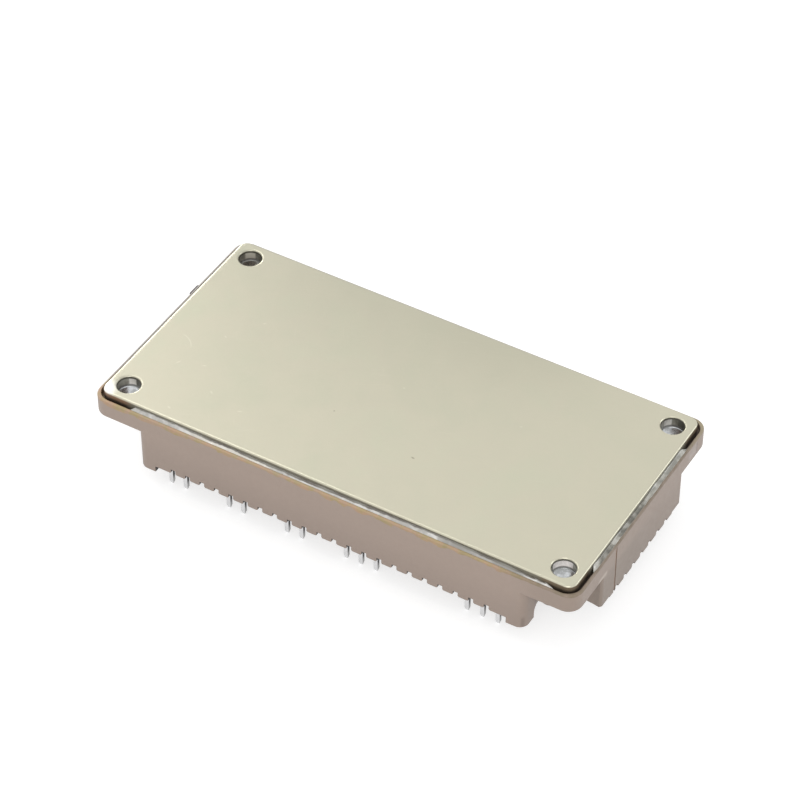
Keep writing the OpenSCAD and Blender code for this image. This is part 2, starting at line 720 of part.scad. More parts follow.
base_plate();
frame();
lid();
mounting_bushes();
sealing_bead();
front_pins(0);  // front_pins_1
front_pins(1);  // front_pins_2
front_pins(2);  // front_pins_3
front_pins(3);  // front_pins_4
front_pins(4);  // front_pins_5
back_pins(0);  // back_pins_1
back_pins(1);  // back_pins_2
back_pins(2);  // back_pins_3
back_pins(3);  // back_pins_4
back_pins(4);  // back_pins_5
back_pins(5);  // back_pins_6
left_pins(0);  // left_pins_1
left_pins(1);  // left_pins_2
substrate_solder();
substrate_back_copper();
substrate_ceramic();
power_tracks();
edge_pads();
gate_tracks();
chip_solder();
igbt_chips();
diode_chips();
thermistor();
emitter_ribbons();
gate_wires();
terminal_ribbons();
silicone_gel();
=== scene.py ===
import math

import bpy
from mathutils import Matrix, Vector, noise

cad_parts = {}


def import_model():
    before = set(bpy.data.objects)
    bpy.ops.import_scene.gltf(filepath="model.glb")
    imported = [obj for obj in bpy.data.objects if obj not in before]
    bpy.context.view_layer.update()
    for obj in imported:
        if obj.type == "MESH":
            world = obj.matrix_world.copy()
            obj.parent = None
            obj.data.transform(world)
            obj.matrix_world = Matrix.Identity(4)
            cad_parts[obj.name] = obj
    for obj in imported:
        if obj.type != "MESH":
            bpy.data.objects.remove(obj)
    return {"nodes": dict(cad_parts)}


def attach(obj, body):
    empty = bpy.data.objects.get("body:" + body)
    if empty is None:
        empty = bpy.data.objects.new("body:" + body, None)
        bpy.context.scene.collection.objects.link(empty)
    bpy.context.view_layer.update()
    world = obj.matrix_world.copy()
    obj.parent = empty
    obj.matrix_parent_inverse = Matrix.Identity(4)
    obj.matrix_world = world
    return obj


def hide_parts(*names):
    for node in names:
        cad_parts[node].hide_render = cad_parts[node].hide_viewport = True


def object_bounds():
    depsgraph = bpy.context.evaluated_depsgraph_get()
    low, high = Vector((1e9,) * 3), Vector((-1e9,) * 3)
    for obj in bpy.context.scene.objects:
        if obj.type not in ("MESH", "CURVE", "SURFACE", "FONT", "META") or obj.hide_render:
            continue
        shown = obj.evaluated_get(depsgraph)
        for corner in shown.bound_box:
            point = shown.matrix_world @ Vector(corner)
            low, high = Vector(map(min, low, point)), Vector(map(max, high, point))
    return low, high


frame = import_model()
cad_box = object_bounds()
nodes = frame["nodes"]

MM = 0.001

# The camera, in millimetres and degrees, about a point inside the module
CAM_AZIMUTH = 30.03
CAM_ELEVATION = 43.438
CAM_ROLL = 0.465
CAM_DISTANCE = 699.93
CAM_TARGET = (0, 0, -8)
CAM_SLIDE = (5.113, 5.959)
CAM_LENS = 141.5
CAM_SENSOR = 36
CAM_SHIFT = (-0.0276, 0.0051)
CAM_CLIP = (10, 10000)

# Light: the world and the lamps together light a level white face at about 1
WORLD_LEVEL = 0.72
FLOOR_ALBEDO = 0.5
FLOOR_GLOW = 0.68
FLOOR_HALF = 3000
# Each lamp's place and size in millimetres, its level where 1 is white, and its tint
LAMPS = {
    "key": dict(at=(-860, 580, 990), size=(480, 480), level=1.0, tint=(1, 0.99, 0.96)),
    "top": dict(at=(-480, 40, 850), size=(320, 320), level=3.5, tint=(1, 0.99, 0.95)),
    "corner": dict(at=(-1080, 350, 840), size=(330, 330), level=5.6, tint=(1, 0.99, 0.95)),
    "left": dict(at=(-1050, 880, 280), size=(330, 700), level=5.0, tint=(1, 0.99, 0.95)),
    "right": dict(at=(640, 470, 255), size=(350, 350), level=1.7, tint=(0.93, 0.96, 1)),
    "front": dict(at=(300, -600, 280), size=(500, 400), level=2.15, tint=(1, 0.99, 0.98)),
}

# Sizes of the solids that the materials and the bead go by, in millimetres: half lengths, the depth of the
# rim's top below the plate's face at height 0, the gap that the bead fills, and one mounting hole's axis
FRAME_HALF_LENGTH = 61.1
PLATE_HALF_LENGTH = 59.6
PLATE_HALF_WIDTH = 29.6
RIM_DEPTH = 1.4
BEAD_GAP = 0.85
HOLE_CENTRE = (55, 25)


def camera():
    """The photograph's viewing angle."""
    azimuth = math.radians(CAM_AZIMUTH)
    elevation = math.radians(CAM_ELEVATION)
    roll = math.radians(CAM_ROLL)
    level = math.cos(elevation)
    back = Vector((math.sin(azimuth) * level, -math.cos(azimuth) * level, math.sin(elevation)))
    side = Vector((math.cos(azimuth), math.sin(azimuth), 0))
    up = back.cross(side)
    right = side * math.cos(roll) + up * math.sin(roll)
    top = up * math.cos(roll) - side * math.sin(roll)
    place = Vector(CAM_TARGET) + back * CAM_DISTANCE + right * CAM_SLIDE[0] + top * CAM_SLIDE[1]
    data = bpy.data.cameras.new("camera")
    data.sensor_width = CAM_SENSOR
    data.lens = CAM_LENS
    data.shift_x, data.shift_y = CAM_SHIFT
    data.clip_start, data.clip_end = (reach * MM for reach in CAM_CLIP)
    cam = bpy.data.objects.new("camera", data)
    turn = Matrix((right, top, back)).transposed().to_4x4()
    cam.matrix_world = Matrix.Translation(place * MM) @ turn
    bpy.context.scene.collection.objects.link(cam)
    bpy.context.scene.camera = cam


class Mat:
    """A node material under construction, with short calls for its common nodes."""

    def __init__(self, name):
        self.mat = bpy.data.materials.new(name)
        self.mat.use_nodes = True
        self.tree = self.mat.node_tree
        self.bsdf = self.tree.nodes["Principled BSDF"]
        self.place = self.node("ShaderNodeTexCoord").outputs["Object"]

    def node(self, kind, **values):
        made = self.tree.nodes.new(kind)
        for key, value in values.items():
            setattr(made, key, value)
        return made

    def link(self, out, into):
        self.tree.links.new(out, into)

    def set(self, **values):
        """Constants on the shader's own sockets, named with _ for a space."""
        for key, value in values.items():
            self.bsdf.inputs[key.replace("_", " ")].default_value = value

    def feed(self, socket, value):
        """A constant, a colour or another node's output into a socket."""
        if isinstance(value, tuple):
            socket.default_value = (*value, 1) if len(socket.default_value) == 4 else value
        elif isinstance(value, (int, float)):
            socket.default_value = value
        else:
            self.link(value, socket)

    def axes(self):
        """The object's own X, Y and Z."""
        split = self.node("ShaderNodeSeparateXYZ")
        self.link(self.place, split.inputs[0])
        return list(split.outputs)

    def facing(self, k):
        """How squarely the surface faces one of the object's axes, from 0 to 1."""
        split = self.node("ShaderNodeSeparateXYZ")
        self.link(self.node("ShaderNodeTexCoord").outputs["Normal"], split.inputs[0])
        return self.math("ABSOLUTE", split.outputs[k])

    def turned(self, angle=0.0, stretch=(1, 1, 1), shift_mm=(0, 0, 0)):
        """The object's own coordinates, moved, turned about Z and stretched."""
        turn = self.node("ShaderNodeMapping", vector_type="TEXTURE")
        turn.inputs["Location"].default_value = [s * MM for s in shift_mm]
        turn.inputs["Rotation"].default_value = (0, 0, math.radians(angle))
        turn.inputs["Scale"].default_value = stretch
        self.link(self.place, turn.inputs["Vector"])
        return turn.outputs["Vector"]

    def noise(self, size_mm, detail=3, rough=0.5, place=None):
        """A random value from 0 to 1 that changes over about the size."""
        tex = self.node("ShaderNodeTexNoise")
        tex.inputs["Scale"].default_value = 1 / (size_mm * MM)
        tex.inputs["Detail"].default_value = detail
        tex.inputs["Roughness"].default_value = rough
        self.link(place or self.place, tex.inputs["Vector"])
        return tex.outputs["Fac"]

    def ramp(self, fac, stops):
        ramp = self.node("ShaderNodeValToRGB")
        points = ramp.color_ramp.elements
        while len(points) < len(stops):
            points.new(0.5)
        for point, (at, color) in zip(points, stops):
            point.position = at
            point.color = (*color, 1)
        self.link(fac, ramp.inputs["Fac"])
        return ramp.outputs["Color"]

    def span(self, value, low, high, to_low=0.0, to_high=1.0, soft=False):
        """The stretch of a value from low to high, mapped to another one and held at its ends."""
        rng = self.node("ShaderNodeMapRange")
        rng.interpolation_type = "SMOOTHSTEP" if soft else "LINEAR"
        self.link(value, rng.inputs["Value"])
        rng.inputs["From Min"].default_value = low
        rng.inputs["From Max"].default_value = high
        rng.inputs["To Min"].default_value = to_low
        rng.inputs["To Max"].default_value = to_high
        return rng.outputs["Result"]

    def along(self, length, low_mm, high_mm, to_low=0.0, to_high=1.0, soft=False):
        """The same for a coordinate or a distance, between two values in millimetres."""
        return self.span(length, low_mm * MM, high_mm * MM, to_low, to_high, soft)

    def band(self, length, low_mm, high_mm, soft_mm):
        """1 where a coordinate lies between two places, fading out over a short length."""
        rise = self.along(length, low_mm - soft_mm, low_mm, soft=True)
        fall = self.along(length, high_mm + soft_mm, high_mm, soft=True)
        return self.times(rise, fall)

    def math(self, how, a, b=0.0):
        node = self.node("ShaderNodeMath", operation=how)
        self.feed(node.inputs[0], a)
        self.feed(node.inputs[1], b)
        return node.outputs[0]

    def times(self, *factors):
        """The product of masks and numbers."""
        product = factors[0]
        for factor in factors[1:]:
            product = self.math("MULTIPLY", product, factor)
        return product

    def mix(self, fac, a, b):
        """Colour a where the factor is 0, and b where it is 1."""
        node = self.node("ShaderNodeMix", data_type="RGBA")
        self.feed(node.inputs["Factor"], fac)
        self.feed(node.inputs[6], a)
        self.feed(node.inputs[7], b)
        return node.outputs[2]

    def distance(self, at_mm, place=None):
        """The distance from a point, in metres."""
        gap = self.node("ShaderNodeVectorMath", operation="DISTANCE")
        self.link(place or self.place, gap.inputs[0])
        gap.inputs[1].default_value = [c * MM for c in at_mm]
        return gap.outputs["Value"]

    def spot(self, at_mm, radius_mm, place=None, soft=0.5):
        """1 near a point, fading from a share of the radius on to 0 at the radius."""
        return self.along(self.distance(at_mm, place), radius_mm, radius_mm * soft, soft=True)

    def bump(self, height, strength, distance_mm, normal=None):
        node = self.node("ShaderNodeBump")
        node.inputs["Strength"].default_value = strength
        node.inputs["Distance"].default_value = distance_mm * MM
        self.link(height, node.inputs["Height"])
        if normal:
            self.link(normal, node.inputs["Normal"])
        return node.outputs["Normal"]

    def bevel(self, radius):
        """A normal that rounds edges, with a radius in metres or from another node."""
        node = self.node("ShaderNodeBevel", samples=8)
        self.feed(node.inputs["Radius"], radius)
        return node.outputs["Normal"]

    def finish(self, color, rough, normal=None):
        """Links what was built to the shader, and gives the material."""
        for socket, value in (("Base Color", color), ("Roughness", rough), ("Normal", normal)):
            if value is not None:
                self.link(value, self.bsdf.inputs[socket])
        return self.mat


# All colours here are linear red, green and blue.
# The plate's face: clouded nickel, its blotches, a painted dim reflection, a painted lighter part and a
# painted highlight at one corner
NICKEL = [(0.3, (0.515, 0.51, 0.40)), (0.52, (0.545, 0.52, 0.415)), (0.72, (0.525, 0.525, 0.41))]
NICKEL_BLOTCH = (0.465, 0.437, 0.342)
NICKEL_PAINTED_DIM = (0.4, 0.39, 0.305)
NICKEL_PAINTED_LIGHT = (0.66, 0.635, 0.5)
NICKEL_PAINTED_HIGHLIGHT = (0.93, 0.92, 0.88)
# Its marks: fine scratches, light ticks and dark specks
SCRATCH_COLOR = (0.75, 0.73, 0.62)
TICK_COLOR = (0.85, 0.83, 0.72)
SPECK_COLOR = (0.2, 0.18, 0.13)
# Its side: grey-green, with a painted brown reflection of the rim that is darker toward +X, and painted shade
# that is nearly black low down
SIDE_COLOR = (0.2, 0.185, 0.145)
PAINTED_RIM_REFLECTION_LEFT = (0.3, 0.17, 0.1)
PAINTED_RIM_REFLECTION_RIGHT = (0.19, 0.135, 0.085)
SIDE_PAINTED_SHADE_LOW = (0.035, 0.016, 0.008)
# The walls of its holes: patches of two tones, grey at the joint under the plate and nearly black at the top
WALL_DARK = (0.16, 0.155, 0.13)
WALL_LIGHT = (0.42, 0.41, 0.36)
WALL_JOINT = (0.2, 0.2, 0.2)
WALL_TOP = (0.08, 0.075, 0.06)

# Painted dim reflection in fields toward the plate's back, as place and reach in millimetres, and strength
PAINTED_DIM_REFLECTIONS = [((-12, 60, 0), 76, 0.6), ((14, 38, 0), 30, 0.4)]
# Small marks on the plate, as place, half length and half width in millimetres, and angle
DARK_SPECKS = [((-11.3, -9.0), (0.3, 0.3), 0), ((11.1, -12.9), (0.7, 0.35), -10)]
LIGHT_TICKS = [
    ((-49.6, -13.2), (1.0, 0.28), 65),
    ((-43.9, -11.3), (0.8, 0.3), 20),
    ((-37.8, -17.8), (0.8, 0.35), -35),
    ((-43.2, -26.6), (0.8, 0.35), -20),
    ((-29.1, -19.8), (0.9, 0.3), 30),
    ((-39.9, 7.4), (0.6, 0.3), 40),
    ((-45.1, -0.8), (0.6, 0.3), -30),
    ((26.6, 7.6), (0.5, 0.3), 25),
    ((-1.8, 5.2), (0.4, 0.3), 0),
]
# A light scratch in an arc near the plate's left edge, in millimetres
ARC_CENTRE = (-54.5, -10.1, 0)
ARC_RADIUS = 5.2
ARC_HALF_WIDTH = 0.22
ARC_MIDDLE = (-51.6, -5.9, 0)
ARC_REACH = 2.9
# Two sets of fine scratches: angle, width and length in millimetres, and the noise's level from start to full
HAIRLINES = [(24, 0.12, 14, 0.69, 0.76), (-58, 0.12, 9, 0.71, 0.78)]
# Painted highlights, reflections and shade in streaks down the walls of the holes, as low and high X and Y in
# millimetres, and colour
HOLE_PAINTED_LIGHT_AND_SHADE = [
    ((-57.2, -55.5), (26, 29), (0.8, 0.77, 0.68)),
    ((-56.4, -55.0), (-24, -21), (0.9, 0.87, 0.82)),
    ((-54.8, -53.3), (-24, -21), (0.1, 0.095, 0.08)),
    ((-53.1, -52.7), (-26, -22), (0.6, 0.6, 0.65)),
    ((52.5, 53.5), (26.1, 29), (0.75, 0.74, 0.7)),
    ((55.2, 58.5), (24, 29), (0.08, 0.075, 0.06)),
    ((52.0, 55.6), (-24.6, -21), (1.0, 0.95, 0.93)),
    ((57, 58), (-27, -21), (0.35, 0.34, 0.3)),
]


def marks_of(m, marks):
    """One mask of several small oval marks."""
    mask = None
    for (x, y), half, angle in marks:
        place = m.turned(angle, (*half, 1), (x, y, 0))
        spot = m.spot((0, 0, 0), 1, place, soft=0.1)
        mask = spot if mask is None else m.math("MAXIMUM", mask, spot)
    return mask


def arc_mark(m):
    """A mask of the scratch in an arc."""
    off = m.math("ABSOLUTE", m.math("SUBTRACT", m.distance(ARC_CENTRE), ARC_RADIUS * MM))
    line = m.along(off, ARC_HALF_WIDTH, 0.0, soft=True)
    return m.times(line, m.spot(ARC_MIDDLE, ARC_REACH))


def hairlines(m, angle, width_mm, length_mm, low, high):
    """Fine scratches along one direction, thinned out by a slow noise."""
    stretched = m.turned(angle, (length_mm / width_mm, 1, 1))
    lines = m.span(m.noise(width_mm, detail=1, place=stretched), low, high)
    patch = m.span(m.noise(9, detail=2), 0.45, 0.7)
    return m.times(lines, patch)


def nickel_face(m, x, blotch):
    """The colour of the plate's face without its marks, with a painted dim reflection, painted light and a
    painted highlight.
    """
    tone = m.ramp(m.noise(24, detail=4, rough=0.6), NICKEL)
    tone = m.mix(m.times(blotch, 0.18), tone, NICKEL_BLOTCH)
    # Painted dim reflection toward the back
    for at, reach, strength in PAINTED_DIM_REFLECTIONS:
        tone = m.mix(m.times(m.spot(at, reach, soft=0.1), strength), tone, NICKEL_PAINTED_DIM)
    # A painted highlight at the front left corner
    bright = m.spot((-59.2, -28.6, 0), 3.9, soft=0.4)
    tone = m.mix(m.times(bright, 0.7), tone, NICKEL_PAINTED_HIGHLIGHT)
    # Painted light, stronger toward +X
    return m.mix(m.along(x, -40, 55, 0, 0.38), tone, NICKEL_PAINTED_LIGHT)


def side_with_painted_reflection(m, x, z, across, back):
    """The colour of the plate's side: grey-green along the bead, with a painted brown reflection of the rim
    near the corners and painted shade low down.
    """
    corner = m.times(m.along(across, 51, 53), m.along(back, 21.5, 23))
    brown = m.mix(m.along(x, -20, 20), PAINTED_RIM_REFLECTION_LEFT, PAINTED_RIM_REFLECTION_RIGHT)
    # Painted shade, nearly black low down
    brown = m.mix(m.along(z, -0.9, -1.7, soft=True), brown, SIDE_PAINTED_SHADE_LOW)
    return m.mix(corner, SIDE_COLOR, brown)


def drilled_wall(m, x, y, z):
    """The colour of the holes' walls, which were left as drilled, with painted light and shade in streaks."""
    wall = m.mix(m.span(m.noise(2.2), 0.4, 0.62), WALL_DARK, WALL_LIGHT)
    for (x_low, x_high), (y_low, y_high), color in HOLE_PAINTED_LIGHT_AND_SHADE:
        streak = m.times(m.band(x, x_low, x_high, 0.3), m.band(y, y_low, y_high, 0.2))
        wall = m.mix(streak, wall, color)
    wall = m.mix(m.along(z, -2.2, -2.6, soft=True), wall, WALL_JOINT)
    return m.mix(m.along(z, -0.95, -0.65, soft=True), wall, WALL_TOP)


def rolled_edge(m, x):
    """A normal that rolls the edges over, most along the left side and least round the right-hand holes."""
    radius = m.along(x, -57.2, -57.8, 0.5 * MM, 0.85 * MM)
    radius = m.math("SUBTRACT", radius, m.along(x, -5, 25, 0, 0.24 * MM, soft=True))
    hole_x, hole_y = HOLE_CENTRE
    back_hole = m.spot((hole_x, hole_y, 0), 4.6, soft=0.9)
    front_hole = m.spot((hole_x, -hole_y, 0), 4.6, soft=0.9)
    sharper = m.times(m.math("MAXIMUM", back_hole, front_hole), 0.12 * MM)
    return m.bevel(m.math("SUBTRACT", radius, sharper))


def plate_material():
    """Nickel-plated metal with small marks, painted reflection and shade on its side, and holes left as
    drilled with painted light and shade on their walls.
    """
    m = Mat("nickel_plate")
    x, y, z = m.axes()
    across, back = m.math("ABSOLUTE", x), m.math("ABSOLUTE", y)
    blotch = m.span(m.noise(5.5, detail=5, rough=0.7), 0.4, 0.75)
    tone = nickel_face(m, x, blotch)
    # Masks of all upright faces, of those on the plate's outside, and of the holes' walls
    upright = m.times(m.along(z, -0.2, -0.45, soft=True), m.span(m.facing(2), 0.7, 0.3))
    outside = m.times(upright, m.math("MAXIMUM", m.along(across, 58, 58.5), m.along(back, 28, 28.5)))
    drilled = m.math("SUBTRACT", upright, outside)
    tone = m.mix(m.times(outside, 0.9), tone, side_with_painted_reflection(m, x, z, across, back))
    tone = m.mix(m.times(drilled, 0.9), tone, drilled_wall(m, x, y, z))
    # Both look less metallic than the face
    dulled = m.math("ADD", m.times(outside, 0.75), m.times(drilled, 0.5))
    m.link(m.span(dulled, 0, 1, 1, 0), m.bsdf.inputs["Metallic"])
    scratch = m.math("MAXIMUM", *(hairlines(m, *lines) for lines in HAIRLINES))
    tone = m.mix(m.times(scratch, 0.35), tone, SCRATCH_COLOR)
    light = m.math("MAXIMUM", marks_of(m, LIGHT_TICKS), arc_mark(m))
    tone = m.mix(m.times(light, 0.22), tone, TICK_COLOR)
    tone = m.mix(m.times(marks_of(m, DARK_SPECKS), 0.6), tone, SPECK_COLOR)
    grain = m.noise(0.3, detail=3)
    rough = m.math("ADD", m.span(grain, 0.3, 0.7, 0.28, 0.34), m.times(blotch, 0.06))
    wave = m.bump(m.noise(16, detail=2), 0.12, 0.05, rolled_edge(m, x))
    scored = m.bump(scratch, 0.1, 0.006, wave)
    return m.finish(tone, rough, m.bump(grain, 0.06, 0.015, scored))


# The moulding's colours: two slow tones, flecks, and painted shade on its lower part and its right side
PLASTIC_DARK = (0.405, 0.318, 0.268)
PLASTIC_LIGHT = (0.435, 0.34, 0.286)
PLASTIC_FLECK = (0.365, 0.292, 0.248)
PLASTIC_PAINTED_SHADE_LOW = (0.25, 0.2, 0.17)
PLASTIC_PAINTED_SHADE_RIGHT = (0.25, 0.2, 0.16)
PLASTIC_PAINTED_SHADE_RIGHT_LOW = (0.25, 0.21, 0.175)
# A painted highlight on the rim's top: tan tones along the front, and painted reflection and shade in dull
# ones left, right and at the back right
RIM_PAINTED_TAN = (0.53, 0.3, 0.155)
RIM_PAINTED_OLIVE = (0.41, 0.32, 0.135)
RIM_PAINTED_PALE = (0.47, 0.35, 0.21)
RIM_PAINTED_LEFT = (0.34, 0.32, 0.3)
RIM_PAINTED_RIGHT = (0.2, 0.16, 0.11)
RIM_PAINTED_BACK_RIGHT = (0.38, 0.33, 0.2)
# The moulding's dark places: painted shade in the comb's slots, the gate's stub, and painted shade in the
# mounting holes and the crevices
SLOT_PAINTED_SHADE = (0.035, 0.027, 0.022)
STUB_COLOR = (0.045, 0.04, 0.045)
BORE_PAINTED_SHADE = (0.11, 0.112, 0.1)
CREVICE_PAINTED_SHADE = (0.1, 0.06, 0.04)
CREVICE_PAINTED_SHADE_FRONT_LEFT = (0.22, 0.15, 0.07)
# Marks on the frame's right side, one of them a painted highlight along the lug's lower edge, as low and high
# Y and Z and softness in millimetres, strength and colour
RIGHT_MARKS = {
    "witness line": ((-12.95, -12.45), (-14.5, -2.2), 0.12, 0.7, (0.3, 0.17, 0.1)),
    "seam on the lug": ((25.0, 25.35), (-5.7, -2.4), 0.12, 0.7, (0.2, 0.16, 0.15)),
    "pale field beside the seam": ((22.0, 24.2), (-4.4, -3.0), 1.5, 0.35, (0.56, 0.52, 0.5)),
    "painted highlight on lower edge": ((-20.2, -17.2), (-5.7, -5.5), 0.9, 0.5, (0.72, 0.64, 0.56)),
}


def rim_painted_highlight(m, x, y, z):
    """Mask and colour of a painted highlight on the rim's top, tan along the front and dull along the other
    sides.
    """
    front = m.times(m.along(y, -20, -29, soft=True), m.span(m.noise(3), 0.2, 0.6, 0.6, 1))
    front = m.times(front, m.along(x, 56, 36, 0.15, 1, soft=True))
    dull = m.mix(m.along(x, -20, 40), RIM_PAINTED_LEFT, RIM_PAINTED_RIGHT)
    dull = m.mix(m.times(m.along(x, 20, 50), m.along(y, 20, 27)), dull, RIM_PAINTED_BACK_RIGHT)
    tan = m.mix(m.span(m.noise(2.2), 0.42, 0.58), RIM_PAINTED_TAN, RIM_PAINTED_OLIVE)
    color = m.mix(front, dull, m.mix(0.3, tan, RIM_PAINTED_PALE))
    # It reaches further down in places along the front
    run = m.times(front, m.span(m.noise(3.4, detail=2), 0.38, 0.62, 0.05 * MM, 0.95 * MM))
    rim_light = m.along(m.math("ADD", z, run), -RIM_DEPTH - 0.42, -RIM_DEPTH - 0.15, soft=True)
    rim_light = m.times(rim_light, m.span(m.noise(2.2), 0.3, 0.65, 0.55, 1.0))
    return rim_light, color


def right_side(m, tone, x, y, z):
    """A tone darkened by painted shade toward the frame's right side and low down toward its front, with the
    marks that lie there, one of them a painted highlight.
    """
    tone = m.mix(m.along(x, 44, 56, 0, 0.3, soft=True), tone, PLASTIC_PAINTED_SHADE_RIGHT)
    lower = m.times(m.along(x, 57, 60), m.along(z, -4.5, -8, soft=True), m.along(y, 12, -6, 0.05, 0.42))
    tone = m.mix(lower, tone, PLASTIC_PAINTED_SHADE_RIGHT_LOW)
    right = m.along(x, 60.6, 60.9)
    for (y_low, y_high), (z_low, z_high), soft, strength, color in RIGHT_MARKS.values():
        field = m.times(m.band(y, y_low, y_high, soft), m.band(z, z_low, z_high, max(soft, 0.3)))
        uneven = m.span(m.noise(1.5), 0.25, 0.6, 0.5 * strength, strength)
        tone = m.mix(m.times(field, uneven, right), tone, color)
    return tone


def slot_walls(m, z, across, back):
    """A mask of the walls of the comb's slots, where shade is painted."""
    long_side = m.times(m.along(back, 28.5, 29), m.along(across, 49, 48), m.span(m.facing(0), 0.5, 0.8))
    short_side = m.times(m.along(across, 58.5, 59), m.along(back, 17, 16), m.span(m.facing(1), 0.5, 0.8))
    return m.times(m.math("MAXIMUM", long_side, short_side), m.along(z, -13.5, -14.5, 0, 0.95))


def bore_walls(m, across, back):
    """A mask of the mounting holes' walls in the moulding, where shade is painted."""
    folded = m.node("ShaderNodeCombineXYZ")
    m.link(across, folded.inputs[0])
    m.link(back, folded.inputs[1])
    from_axis = m.distance((*HOLE_CENTRE, 0), folded.outputs[0])
    return m.times(m.along(from_axis, 4.6, 4.3), m.span(m.facing(2), 0.6, 0.3))


def crevices(m, z):
    """A mask of narrow places below the rim's top, the groove round the plate among them, where shade is
    painted.
    """
    openness = m.node("ShaderNodeAmbientOcclusion", samples=8)
    openness.inputs["Distance"].default_value = 1.6 * MM
    return m.times(m.span(openness.outputs["AO"], 0.72, 0.35, 0, 0.85), m.along(z, -1.5, -1.9))


def plastic_material():
    """The moulding, with a painted highlight on its rim and painted shade in its slots, holes and crevices."""
    m = Mat("housing_plastic")
    m.set(Specular_IOR_Level=0.5)
    x, y, z = m.axes()
    across, back = m.math("ABSOLUTE", x), m.math("ABSOLUTE", y)
    fine = m.noise(1.1, detail=4, rough=0.65)
    tone = m.mix(m.noise(17, detail=3), PLASTIC_DARK, PLASTIC_LIGHT)
    tone = m.mix(m.span(fine, 0.35, 0.75, 0.0, 0.25), tone, PLASTIC_FLECK)
    # Painted shade, darker toward the bottom
    tone = m.mix(m.along(z, -5, -15, 0, 0.22, soft=True), tone, PLASTIC_PAINTED_SHADE_LOW)
    rim_light, rim_light_color = rim_painted_highlight(m, x, y, z)
    # Painted highlight and reflection on the rim's top
    tone = m.mix(rim_light, tone, rim_light_color)
    tone = right_side(m, tone, x, y, z)
    tone = m.mix(slot_walls(m, z, across, back), tone, SLOT_PAINTED_SHADE)
    # The gate's stub is dark and rough
    stub = m.along(x, -FRAME_HALF_LENGTH - 0.02, -FRAME_HALF_LENGTH - 0.12)
    tone = m.mix(m.times(stub, 0.9), tone, STUB_COLOR)
    tone = m.mix(bore_walls(m, across, back), tone, BORE_PAINTED_SHADE)
    # Painted shade in the crevices, a lighter brown near the front left corner
    shade = m.mix(m.spot((-61, -29, -2), 6), CREVICE_PAINTED_SHADE, CREVICE_PAINTED_SHADE_FRONT_LEFT)
    tone = m.mix(crevices(m, z), tone, shade)
    rough = m.math("ADD", m.span(fine, 0.3, 0.7, 0.40, 0.50), m.times(stub, 0.4))
    return m.finish(tone, rough, m.bump(m.noise(0.14, detail=2), 0.16, 0.02, m.bevel(0.14 * MM)))


# The bushes' colours, the last painted shade for the one at the back left
BUSH_DARK = (0.36, 0.37, 0.37)
BUSH_LIGHT = (0.6, 0.62, 0.64)
BUSH_PAINTED_SHADE = (0.27, 0.27, 0.25)
# The pins' colours: two bright tones, painted shade on the faces along one axis, and painted shadow on those
# faces where the pins leave their grooves
PIN_DARK = (0.62, 0.62, 0.62)
PIN_LIGHT = (0.76, 0.76, 0.77)
PIN_PAINTED_SHADE = (0.27, 0.265, 0.26)
PIN_PAINTED_SHADOW = (0.02, 0.018, 0.016)


def bush_material():
    """Grey metal bushes, the one at the back left darkened by painted shade."""
    m = Mat("bush_metal")
    m.set(Metallic=1.0)
    tone = m.mix(m.span(m.noise(1.4, detail=3), 0.4, 0.6), BUSH_DARK, BUSH_LIGHT)
    hole_x, hole_y = HOLE_CENTRE
    # Painted shade on the bush at the back left
    tone = m.mix(m.spot((-hole_x, hole_y, -3), 7, soft=0.8), tone, BUSH_PAINTED_SHADE)
    grain = m.noise(0.3, detail=3)
    return m.finish(tone, m.span(grain, 0.3, 0.7, 0.24, 0.36), m.bump(grain, 0.15, 0.02, m.bevel(0.04 * MM)))


def pin_material(name, shaded_axis):
    """Tinned pins, bright, with painted shade on the faces along one axis and a painted shadow near the top of
    those faces.
    """
    m = Mat(name)
    m.set(Metallic=1.0)
    tone = m.mix(m.noise(0.9, detail=3), PIN_DARK, PIN_LIGHT)
    # Painted shade on the faces along one axis
    dull = m.span(m.facing(shaded_axis), 0.5, 0.8)
    tone = m.mix(m.times(dull, 0.8), tone, PIN_PAINTED_SHADE)
    # Painted shadow near the top, where the pins leave their grooves
    root = m.times(dull, m.along(m.axes()[2], -19.3, -17.6, 0, 0.92, soft=True))
    tone = m.mix(root, tone, PIN_PAINTED_SHADOW)
    streak = m.noise(0.2, detail=3, place=m.turned(stretch=(1, 1, 8)))
    rough = m.math("ADD", m.span(streak, 0.3, 0.7, 0.16, 0.26), m.times(dull, 0.15))
    return m.finish(tone, rough, m.bump(streak, 0.2, 0.02, m.bevel(0.12 * MM)))


# The bead's colours: its dark and its pale part, each in two tones, and the patches on the short sides
BEAD_BROWN = (0.12, 0.102, 0.08)
BEAD_OLIVE = (0.23, 0.22, 0.185)
BEAD_GREY = (0.45, 0.44, 0.41)
BEAD_PALE = (0.72, 0.71, 0.69)
BEAD_PATCHES = [(0.38, (0.12, 0.115, 0.09)), (0.5, (0.3, 0.29, 0.24)), (0.62, (0.55, 0.54, 0.49))]
# Along the long sides a painted highlight makes the pale part brightest left of the middle, and painted shade
# dulls it before the right end.
# Each stretch has its low and high X and its softness in millimetres, and its colour
LONG_PAINTED_LIGHT_AND_SHADE = [((-33, -17), 5, (0.86, 0.82, 0.74)), ((30, 47), 3, (0.22, 0.21, 0.19))]
# Along the right side two stretches are darker and one is paler, by low and high Y in millimetres
RIGHT_STRETCHES = [((-18, -13.5), (0.12, 0.11, 0.09)), ((-9.5, 1.5), (0.13, 0.125, 0.1)),
                   ((4, 21), (0.5, 0.5, 0.45))]
# How far out from the plate the dark part reaches: place along the long sides and reach, as shares
BEAD_REACH = [(0.06, 0.2), (0.18, 0.25), (0.29, 0.36), (0.5, 0.58), (0.6, 0.4), (0.72, 0.25), (0.85, 0.38),
              (0.97, 0.5)]


